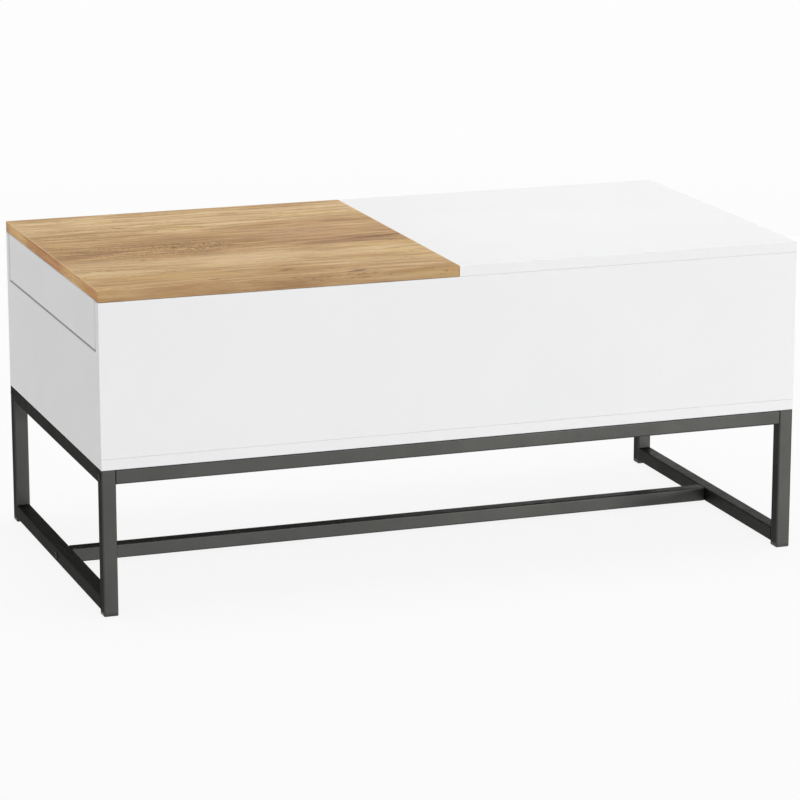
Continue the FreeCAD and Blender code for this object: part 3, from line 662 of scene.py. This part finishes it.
@dataclass(frozen=True)
class OakDecor(Finish):
    """Golden oak decor: light and brown bands, a heart streak, flecks, pores and small knots, and a
    painted highlight along the top's left edge.
    """

    board_width: float = 0.51
    band_sway: Point = (4.0, 7.0, 7.0)
    band_sway_shift: Point = (0.4, 0.0, 0.0)
    band_sway_reach: float = 0.22
    end_shift: float = 0.83
    blotch: Point = (6.0, 84.0, 84.0)
    blotch_shift: Point = (0.0, 3.3, 0.0)
    blotch_weight: float = 0.6
    blotch_level: float = -0.34
    streak_weight: float = 0.36
    edge_thread: float = 0.5
    face_thread: float = 0.48
    face_shade: float = 0.3
    warmth: Point = (9.0, 26.0, 26.0)
    warmth_shift: Point = (1.7, 0.9, 0.0)
    gold: Colour = (1.03, 1.0, 0.86, 1.0)
    rose: Colour = (1.02, 0.95, 0.95, 1.0)
    tear: Point = (34.0, 190.0, 60.0)
    fleck_lean: float = 0.25
    fleck: Point = (330.0, 75.0, 75.0)
    end_share: float = 0.9
    end_brown: Colour = (1.36, 1.05, 0.85, 1.0)
    end_gold: Colour = (1.37, 1.23, 0.97, 1.0)
    side_cool: Colour = (0.98, 1.0, 1.1, 1.0)
    # Painted highlight: a thin lighter line on the top face along the leaf's left edge, standing in
    # for light caught by the rounded edge.
    painted_edge_highlight_span: Span = (-0.4992, -0.4984)
    painted_edge_highlight_share: float = 0.5
    painted_edge_highlight_colour: Colour = tone(232, 212, 178)
    pore_share: float = 0.6
    pore_dark: Colour = tone(110, 76, 48)
    spread: float = 0.06
    depth: float = 0.06 * MILLIMETRE
    press: float = 0.5

    def paint(self, canvas: Canvas) -> None:
        """Wires the oak's figure, with the grain along the edge on the ends.

        Args:
            canvas: The material in the making.
        """
        graph, place = canvas.graph, canvas.place
        at_end, at_face = self._sides(graph)
        x, y, z = graph.split(place)
        beside = graph.calc("ADD", x, self.end_shift)
        turned = graph.add("ShaderNodeCombineXYZ", {0: y, 1: beside, 2: z}).outputs[0]
        run = graph.choose(at_end, place, turned)
        grain = graph.group(canvas.effects.fibre, {"Place": run, "Coarse": 1.0})
        thread = graph.calc("SUBTRACT", grain["Fibre"], NOISE_MIDDLE)
        level = self._ground(graph, place, run, grain["Streak"])
        contrast = graph.calc("MULTIPLY_ADD", at_face, self.face_thread, self.edge_thread)
        level = graph.calc("MULTIPLY_ADD", thread, contrast, level)
        colour = self._warm(graph, place, graph.ramp(level, OAK_TONES))
        colour = self._mark(graph, place, colour)
        depth = graph.calc("MULTIPLY", at_face, self.face_shade)
        shade = graph.calc("MULTIPLY_ADD", thread, depth, 1.0)
        colour = graph.tint(1.0, colour, shade, Blend.MULTIPLY)
        hue = graph.tint(graph.fit(level, (0.35, 0.7)), self.end_brown, self.end_gold)
        end = graph.calc("MULTIPLY", at_end, self.end_share)
        colour = graph.tint(end, colour, hue, Blend.MULTIPLY)
        # Painted highlight: lightens the top face close to the left edge, as light on the rounded edge
        # would.
        painted_edge_highlight = graph.calc("MULTIPLY", at_face, graph.fit(x, self.painted_edge_highlight_span, (self.painted_edge_highlight_share, 0.0)))
        colour = graph.tint(painted_edge_highlight, colour, self.painted_edge_highlight_colour)
        at_side = graph.calc("SUBTRACT", graph.calc("SUBTRACT", 1.0, at_face), at_end)
        colour = graph.tint(at_side, colour, self.side_cool, Blend.MULTIPLY)
        pore = graph.calc("MULTIPLY", grain["Pore"], self.pore_share)
        canvas.colour(graph.tint(pore, colour, self.pore_dark))
        canvas.gloss(grain["Fibre"], self.roughness, self.spread, (0.0, 1.0))
        canvas.relief(grain["Height"], self.depth, self.press)

    def _sides(self, graph: Graph) -> Tuple[bpy.types.NodeSocket, bpy.types.NodeSocket]:
        """Tells the board's ends and its broad faces from the rest.

        Args:
            graph: The material's nodes.

        Returns:
            1 on the ends, and 1 on the broad faces.
        """
        outward = graph.split(graph.add("ShaderNodeTexCoord").outputs["Normal"])
        half = 0.5
        at_end = graph.calc("GREATER_THAN", graph.calc("ABSOLUTE", outward[0]), half)
        at_face = graph.calc("GREATER_THAN", graph.calc("ABSOLUTE", outward[2]), half)
        return at_end, at_face

    def _ground(self, graph: Graph, place: Feed, run: Feed, streak: Feed) -> bpy.types.NodeSocket:
        """Lays broad bands across the board, wavering along it, with blotches and streaks.

        Args:
            graph: The material's nodes.
            place: The place on the board.
            run: The same place, turned on the ends so that the grain runs along the edge.
            streak: The grain's streaks.

        Returns:
            The level of tone, about from 0 to 1.
        """
        sway = graph.stretch(place, self.band_sway, self.band_sway_shift)
        aside = graph.calc("SUBTRACT", graph.noise(sway, detail=4.0, rough=0.55), NOISE_MIDDLE)
        spot = graph.calc("MULTIPLY_ADD", graph.split(place)[1], 1.0 / self.board_width, 0.5)
        spot = graph.calc("MULTIPLY_ADD", aside, self.band_sway_reach, spot)
        band = graph.ramp(spot, [(at, (level,) * 3 + (1.0,)) for at, level in OAK_BANDS])
        blotch = graph.noise(graph.stretch(run, self.blotch, self.blotch_shift), detail=4.0, rough=0.6)
        band = graph.calc("ADD", band, self.blotch_level)
        band = graph.calc("MULTIPLY_ADD", blotch, self.blotch_weight, band)
        band = graph.calc("ADD", band, -self.streak_weight / 2)
        return graph.calc("MULTIPLY_ADD", streak, self.streak_weight, band)

    def _warm(self, graph: Graph, place: Feed, colour: Feed) -> bpy.types.NodeSocket:
        """Leans some patches to gold and others to rose.

        Args:
            graph: The material's nodes.
            place: The place on the board.
            colour: The colour so far.

        Returns:
            The new colour.
        """
        spot = graph.stretch(place, self.warmth, self.warmth_shift)
        patch = graph.noise(spot, detail=3.0, rough=0.6)
        gold = graph.fit(patch, (0.5, 0.7), (0.0, 0.8))
        rose = graph.fit(patch, (0.5, 0.3), (0.0, 0.5))
        colour = graph.tint(gold, colour, self.gold, Blend.MULTIPLY)
        return graph.tint(rose, colour, self.rose, Blend.MULTIPLY)

    def _mark(self, graph: Graph, place: Feed, colour: Feed) -> Feed:
        """Draws the figure, and short cross flecks where the cut meets the rays.

        Args:
            graph: The material's nodes.
            place: The place on the board.
            colour: The colour so far.

        Returns:
            The new colour.
        """
        torn = graph.noise(graph.stretch(place, self.tear), detail=4.0, rough=0.65)
        torn = graph.calc("SUBTRACT", torn, NOISE_MIDDLE)
        for figure in FIGURES:
            colour = graph.tint(figure.mask(graph, place, torn), colour, figure.colour)
        slant = graph.add("ShaderNodeMapping", {
            "Vector": place, "Rotation": (0.0, 0.0, self.fleck_lean), "Scale": self.fleck}).outputs[0]
        ripple = graph.noise(slant, detail=3.0, rough=0.6, bend=0.6)
        ripple = graph.fit(ripple, (0.5, 0.64), (0.0, 0.8))
        for zone in FLECK_ZONES:
            fleck = graph.calc("MULTIPLY", zone.mask(graph, place, torn), ripple)
            colour = graph.tint(fleck, colour, zone.colour)
        return colour


@dataclass(frozen=True)
class DrawnSteel(Finish):
    """Rolled, drawn or turned steel with fine lines and faint stains."""

    lines: float = 2400.0
    shade: float = 0.1
    stain_shade: float = 0.35
    stain_share: float = 0.25
    line_gloss: float = 0.12
    stain_gloss: float = 0.1
    depth: float = 0.02 * MILLIMETRE
    press: float = 0.4

    def paint(self, canvas: Canvas) -> None:
        """Wires the lines and stains into the steel's colour, gloss and relief.

        Args:
            canvas: The material in the making.
        """
        graph = canvas.graph
        drawn = graph.group(canvas.effects.drawn, {"Place": canvas.place, "Lines": self.lines})
        colour = graph.tint(drawn["Line"], *self.shades(self.shade))
        stain = graph.calc("MULTIPLY", drawn["Stain"], self.stain_share)
        canvas.colour(graph.tint(stain, colour, self.shades(self.stain_shade)[0]))
        smooth = self.roughness - self.line_gloss / 2
        rough = graph.calc("MULTIPLY_ADD", drawn["Line"], self.line_gloss, smooth)
        rough = graph.calc("MULTIPLY_ADD", drawn["Stain"], self.stain_gloss, rough)
        graph.feed(canvas.shader.inputs["Roughness"], rough)
        canvas.relief(drawn["Line"], self.depth, self.press)


@dataclass(frozen=True)
class BareWood(Finish):
    """Turned beech without a finish."""

    coarse: float = 2.5
    shade: float = 0.16
    pore_shade: float = 0.5
    pore_share: float = 0.3
    spread: float = 0.08
    depth: float = 0.05 * MILLIMETRE
    press: float = 0.5

    def paint(self, canvas: Canvas) -> None:
        """Wires the beech's short grain.

        Args:
            canvas: The material in the making.
        """
        graph = canvas.graph
        grain = graph.group(canvas.effects.fibre, {"Place": canvas.place, "Coarse": self.coarse})
        colour = graph.tint(grain["Streak"], *self.shades(self.shade))
        pore = graph.calc("MULTIPLY", grain["Pore"], self.pore_share)
        canvas.colour(graph.tint(pore, colour, self.shades(self.pore_shade)[0]))
        canvas.gloss(grain["Fibre"], self.roughness, self.spread, (0.0, 1.0))
        canvas.relief(grain["Height"], self.depth, self.press)


FINISHES: Tuple[Finish, ...] = (
    PressedBoard(Slot.WHITE_BOARD, tone(237, 237, 238), 0.4),
    OakDecor(Slot.OAK_BOARD, tone(197, 165, 125), 0.55, reflect=0.1),
    TexturedCoat(Slot.FRAME_COAT, tone(73, 73, 71), 0.42, metallic=1.0),
    MouldedSkin(Slot.FOOT_PLASTIC, tone(44, 44, 44), 0.5),
    MouldedSkin(Slot.BLACK_BOLT, tone(30, 30, 31), 0.6, metallic=0.3, bumps=2200.0,
                depth=0.02 * MILLIMETRE),
    DrawnSteel(Slot.ZINC_STEEL, tone(186, 188, 190), 0.32, metallic=1.0),
    MouldedSkin(Slot.CAM_ZINC, tone(170, 170, 168), 0.42, metallic=1.0, bumps=1600.0),
    DrawnSteel(Slot.RUNNER_STEEL, tone(190, 193, 196), 0.3, metallic=1.0),
    DrawnSteel(Slot.CAGE_STEEL, tone(172, 170, 166), 0.36, metallic=1.0),
    DrawnSteel(Slot.BALL_STEEL, tone(214, 215, 217), 0.12, metallic=1.0, lines=900.0),
    BareWood(Slot.BEECH, tone(206, 170, 128), 0.6),
    MouldedSkin(Slot.STOP_RUBBER, tone(214, 214, 208), 0.45),
)


class Wardrobe:
    """Makes each finish once and hands it to pieces."""

    def __init__(self) -> None:
        """Makes every finish and notes the slot of every node."""
        effects = Effects()
        self.materials = {finish.slot: finish.material(effects) for finish in FINISHES}
        rows = frame["record"]["subparts"]
        self.slots = {row["node"]: Slot(row["material_slot"]) for row in rows}

    def dress_node(self, node: str) -> None:
        """Gives a CAD node the finish of its slot.

        Args:
            node: The node's name.
        """
        piece = frame["nodes"][node]
        slot = self.slots[node]
        if not piece.material_slots:
            piece.data.materials.append(None)
        for holder in piece.material_slots:
            holder.material = self.materials[slot]
        LOG.info("dressed %s in %s", node, slot.value)

    def dress_piece(self, piece: bpy.types.Object, slot: Slot) -> None:
        """Gives a made piece the finish of a slot."""
        piece.data.materials.append(self.materials[slot])


# Mesh making

def turn_about(bm: bmesh.types.BMesh, profile: Profile, segments: int, place: Matrix,
               flats: Sequence[int] = ()) -> None:
    """Turns a closed profile about its own Z axis and adds it to a mesh.

    Args:
        bm: The mesh to add to.
        profile: Radius and height of each ring, from one end to the other.
        segments: Sides of each ring.
        place: Where the piece stands.
        flats: Numbers of the rings that are hexagons, given by their half width over flats.
    """
    rings = []
    for number, (radius, height) in enumerate(profile):
        ring = []
        for step in range(segments):
            angle = 2 * math.pi * step / segments
            reach = radius
            if number in flats:
                reach = radius / math.cos((angle % (math.pi / 3)) - math.pi / 6)
            spot = Vector((reach * math.cos(angle), reach * math.sin(angle), height))
            ring.append(bm.verts.new(place @ spot))
        rings.append(ring)
    for low, high in zip(rings, rings[1:]):
        for step in range(segments):
            after = (step + 1) % segments
            bm.faces.new((low[step], low[after], high[after], high[step]))
    bm.faces.new(reversed(rings[0]))
    bm.faces.new(rings[-1])


def finish_mesh(bm: bmesh.types.BMesh, name: str, smooth: float = 40.0) -> bpy.types.Object:
    """Turns a made mesh into a piece that moves with the case.

    Args:
        bm: The mesh.
        name: The piece's name.
        smooth: Edges below this angle, in degrees, are shaded smooth.

    Returns:
        The piece.
    """
    bmesh.ops.recalc_face_normals(bm, faces=bm.faces)
    mesh = bpy.data.meshes.new(name)
    bm.to_mesh(mesh)
    bm.free()
    mesh.shade_smooth()
    mesh.set_sharp_from_angle(angle=math.radians(smooth))
    piece = bpy.data.objects.new(name, mesh)
    bpy.context.scene.collection.objects.link(piece)
    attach(piece, CASE_BODY)
    LOG.info("made %s on %s", name, CASE_BODY)
    return piece


def facing(place: Point, way: Point) -> Matrix:
    """Stands a piece at a place with its own Z axis along a direction."""
    return Matrix.Translation(place) @ Vector(way).to_track_quat("Z", "Y").to_matrix().to_4x4()


# Sub-assemblies

BUTTON_DOME: Profile = (
    (0.45, 1.0), (0.62, 0.98), (0.78, 0.88), (0.9, 0.7), (0.97, 0.45), (1.0, 0.25), (1.0, 0.08),
    (0.98, 0.0),
)


@dataclass
class SocketBolt:
    """A low button-head bolt with a hexagon socket, drawn with its head's seat at height 0."""

    grip: float
    head_radius: float = 5.0 * MILLIMETRE
    head_height: float = 1.5 * MILLIMETRE
    socket_half: float = 1.5 * MILLIMETRE
    socket_depth: float = 1.0 * MILLIMETRE
    socket_floor: float = 0.3
    shank_radius: float = 3.0 * MILLIMETRE
    pitch: float = 1.0 * MILLIMETRE
    thread_depth: float = 0.3 * MILLIMETRE
    segments: int = 36

    def add(self, bm: bmesh.types.BMesh, place: Point, outward: Point) -> None:
        """Adds the bolt to a mesh.

        Args:
            bm: The mesh to add to.
            place: The middle of the head's seat.
            outward: The way the head looks.
        """
        top, half = self.head_height, self.socket_half
        floor = top - self.socket_depth
        root = self.shank_radius - self.thread_depth
        rings = [(half * self.socket_floor, floor), (half, floor), (half, top)]
        rings += [(self.head_radius * out, top * up) for out, up in BUTTON_DOME]
        rings.append((self.shank_radius, 0.0))
        for turn in range(int(self.grip / self.pitch) - 1):
            start = -self.pitch * (turn + 0.5)
            rings.append((self.shank_radius, start))
            rings.append((root, start - self.pitch / 2))
        rings.append((root, -self.grip))
        turn_about(bm, rings, self.segments, facing(place, outward), flats=(1, 2))


@dataclass
class Assembly:
    """A group of the table's solids that belong together."""

    nodes: Tuple[str, ...] = ()

    def build(self, wardrobe: Wardrobe) -> None:
        """Dresses the group's solids."""
        for node in self.nodes:
            wardrobe.dress_node(node)


@dataclass
class Stand(Assembly):
    """The square-tube stand: two welded end frames, two long rails and a low stretcher."""

    nodes: Tuple[str, ...] = (
        "left_front_leg", "left_rear_leg", "left_top_rail", "left_low_rail", "right_front_leg",
        "right_rear_leg", "right_top_rail", "right_low_rail", "front_long_rail", "rear_long_rail",
        "low_stretcher", "foot_glides", "rail_plugs", "frame_bolts", "case_bolts")
    half_length: float = 0.5
    leg_x: float = 0.49
    leg_y: float = 0.245
    tube: float = 0.02
    top_rail_z: float = 0.19
    low_rail_z: float = 0.015
    frame_bolt_grip: float = 34 * MILLIMETRE
    case_bolt_grip: float = 30 * MILLIMETRE
    case_bolt_x: float = 0.3
    case_bolt_y: float = 0.1632

    def build(self, wardrobe: Wardrobe) -> None:
        """Dresses the stand's solids and makes its bolts.

        Args:
            wardrobe: The finishes.
        """
        super().build(wardrobe)
        self.frame_bolts(wardrobe)
        self.case_bolts(wardrobe)

    def frame_bolts(self, wardrobe: Wardrobe) -> None:
        """Makes the bolts that hold the long rails and the stretcher to the end frames.

        Args:
            wardrobe: The finishes.
        """
        bm = bmesh.new()
        bolt = SocketBolt(self.frame_bolt_grip)
        rails = ((-self.leg_y, self.top_rail_z), (self.leg_y, self.top_rail_z), (0.0, self.low_rail_z))
        for end in (-1, 1):
            for y, z in rails:
                bolt.add(bm, (end * self.half_length, y, z), (end, 0, 0))
        piece = finish_mesh(bm, "frame_socket_bolts")
        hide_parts("frame_bolts")
        wardrobe.dress_piece(piece, Slot.BLACK_BOLT)

    def case_bolts(self, wardrobe: Wardrobe) -> None:
        """Makes the bolts that hold the chest down on the stand.

        Args:
            wardrobe: The finishes.
        """
        bm = bmesh.new()
        bolt = SocketBolt(self.case_bolt_grip)
        under = self.top_rail_z - self.tube / 2
        for end in (-1, 1):
            for side in (-1, 1):
                bolt.add(bm, (end * self.leg_x, side * self.case_bolt_y, under), (0, 0, -1))
                bolt.add(bm, (end * self.case_bolt_x, side * self.leg_y, under), (0, 0, -1))
        piece = finish_mesh(bm, "case_socket_bolts")
        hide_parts("case_bolts")
        wardrobe.dress_piece(piece, Slot.BLACK_BOLT)


@dataclass
class Chest(Assembly):
    """The white storage chest with the fixed half of the top."""

    nodes: Tuple[str, ...] = (
        "bottom_board", "front_panel", "rear_panel", "left_end_panel", "right_end_panel",
        "centre_rail", "fixed_top", "stop_buffers", "chest_cam_locks", "chest_cam_bolts",
        "chest_dowels", "base_screws", "threaded_inserts")


@dataclass
class Leaf(Assembly):
    """The oak-faced sliding leaf with its apron and rails."""

    nodes: Tuple[str, ...] = (
        "leaf_top", "leaf_apron", "leaf_cross_rail", "leaf_front_rail", "leaf_rear_rail",
        "leaf_cam_locks", "leaf_cam_bolts", "leaf_dowels")


@dataclass
class Runners(Assembly):
    """The two ball-bearing runners under the leaf, with their screws."""

    nodes: Tuple[str, ...] = ("runner_panel_screws", "runner_leaf_screws")
    sides: Tuple[str, ...] = ("front", "rear")
    members: Tuple[str, ...] = (
        "runner_outer", "runner_middle", "runner_inner", "outer_cage", "inner_cage", "outer_balls",
        "inner_balls")

    def build(self, wardrobe: Wardrobe) -> None:
        """Dresses the runners' screws and the members of each runner.

        Args:
            wardrobe: The finishes.
        """
        super().build(wardrobe)
        for side in self.sides:
            for member in self.members:
                wardrobe.dress_node(f"{side}_{member}")


# Studio

@dataclass(frozen=True)
class SoftBox:
    """One soft lamp that looks at a point."""

    name: str
    place: Point
    target: Point
    width: float
    height: float
    power: float

    def hang(self) -> None:
        """Puts the lamp up."""
        lamp = bpy.data.lights.new(self.name, "AREA")
        lamp.shape = "RECTANGLE"
        lamp.size = self.width
        lamp.size_y = self.height
        lamp.energy = self.power
        holder = bpy.data.objects.new(self.name, lamp)
        bpy.context.scene.collection.objects.link(holder)
        holder.matrix_world = facing(self.place, Vector(self.place) - Vector(self.target))
        holder.visible_camera = False


@dataclass
class Studio:
    """The pale floor, the soft lamps, the even sky and the camera."""

    floor_reach: float = 60.0
    floor_colour: Colour = (0.86, 0.86, 0.86, 1.0)
    floor_white: float = 0.985
    floor_lift: float = 0.9
    floor_fade: Span = (1.0, 3.5)
    sky_colour: Colour = (1.0, 1.0, 1.0, 1.0)
    sky_level: float = 0.555
    wall_glow: float = 0.8
    wall_start: Span = (0.22, 0.42)
    wall_end: Span = (0.6, 0.95)
    wall_top: Span = (0.2, 0.45)
    camera_place: Point = (-1.60916, -4.53446, 1.38271)
    camera_pitch: float = 0.2419
    camera_yaw: float = 0.3422
    camera_reach: float = 200.0
    lens: float = 156.712
    sensor: float = 36.0
    lamps: Tuple[SoftBox, ...] = (
        SoftBox("top_box", (0.35, 0.3, 3.6), (0.05, 0.0, 0.4), 3.0, 2.8, 63.0),
        SoftBox("front_box", (12.6, -22.8, 0.9), (0.0, -0.25, 0.3), 7.2, 2.2, 2480.0),
        SoftBox("low_strip", (1.45, 1.8, 0.23), (0.45, 0.0, 0.03), 1.5, 0.4, 12.0),
    )

    def build(self) -> None:
        """Sets the floor, the lamps, the sky and the camera."""
        self.lay_floor()
        for lamp in self.lamps:
            lamp.hang()
        self.light_sky()
        self.set_camera()
        bpy.context.scene.view_settings.view_transform = "Standard"

    def lay_floor(self) -> None:
        """Lays a pale floor that looks white, evenly so further off, and keeps the shadow."""
        reach = self.floor_reach
        mesh = bpy.data.meshes.new("floor")
        rim = [(-reach, -reach, 0), (reach, -reach, 0), (reach, reach, 0), (-reach, reach, 0)]
        mesh.from_pydata(rim, [], [(0, 1, 2, 3)])
        floor = bpy.data.objects.new("floor", mesh)
        bpy.context.scene.collection.objects.link(floor)
        mesh.materials.append(self.floor_paper())

    def floor_paper(self) -> bpy.types.Material:
        """Makes the floor's paper: matt in the light, and near white where it is looked at.

        Returns:
            The material.
        """
        made = bpy.data.materials.new("floor_paper")
        made.use_nodes = True
        graph = Graph(made.node_tree)
        out = graph.add("ShaderNodeOutputMaterial")
        paper = graph.add("ShaderNodeBsdfDiffuse", {"Color": self.floor_colour})
        white = graph.add("ShaderNodeEmission", {"Color": (self.floor_white,) * 3 + (1.0,)})
        rays = graph.add("ShaderNodeLightPath").outputs
        seen = graph.calc("MAXIMUM", rays["Is Camera Ray"], rays["Is Glossy Ray"])
        seen = graph.calc("MAXIMUM", seen, rays["Is Transmission Ray"])
        away = graph.length(graph.add("ShaderNodeTexCoord").outputs["Object"])
        lift = graph.fit(away, self.floor_fade, (self.floor_lift, 1.0))
        share = graph.calc("MULTIPLY", seen, lift)
        mix = graph.add("ShaderNodeMixShader", {0: share, 1: paper.outputs[0], 2: white.outputs[0]})
        graph.feed(out.inputs[0], mix.outputs[0])
        return made

    def light_sky(self) -> None:
        """Fills the room with even light and a bright wall at the back on the right."""
        world = bpy.data.worlds.new("studio")
        world.use_nodes = True
        bpy.context.scene.world = world
        graph = Graph(world.node_tree)
        out = graph.add("ShaderNodeOutputWorld")
        x, y, z = graph.split(graph.add("ShaderNodeTexCoord").outputs["Generated"])
        turn = graph.calc("ARCTAN2", x, y)
        ending = graph.fit(turn, self.wall_end, (1.0, 0.0))
        wall = graph.calc("MULTIPLY", graph.fit(turn, self.wall_start), ending)
        wall = graph.calc("MULTIPLY", wall, graph.fit(z, self.wall_top, (self.wall_glow, 0.0)))
        level = graph.calc("ADD", wall, self.sky_level)
        sky = graph.add("ShaderNodeBackground", {"Color": self.sky_colour, "Strength": level})
        graph.feed(out.inputs[0], sky.outputs[0])

    def set_camera(self) -> None:
        """Sets the camera at the photograph's viewing angle."""
        camera = bpy.data.cameras.new("camera")
        camera.lens = self.lens
        camera.sensor_width = self.sensor
        camera.sensor_fit = "HORIZONTAL"
        camera.clip_end = self.camera_reach
        holder = bpy.data.objects.new("camera", camera)
        bpy.context.scene.collection.objects.link(holder)
        holder.location = self.camera_place
        holder.rotation_euler = (math.pi / 2 - self.camera_pitch, 0.0, -self.camera_yaw)
        bpy.context.scene.camera = holder


def main() -> None:
    """Builds the table's looks in order."""
    logging.basicConfig(level=logging.INFO, format="%(message)s")
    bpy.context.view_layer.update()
    wardrobe = Wardrobe()
    for assembly in (Stand(), Chest(), Leaf(), Runners()):
        assembly.build(wardrobe)
    Studio().build()


if __name__ == "__main__":
    main()
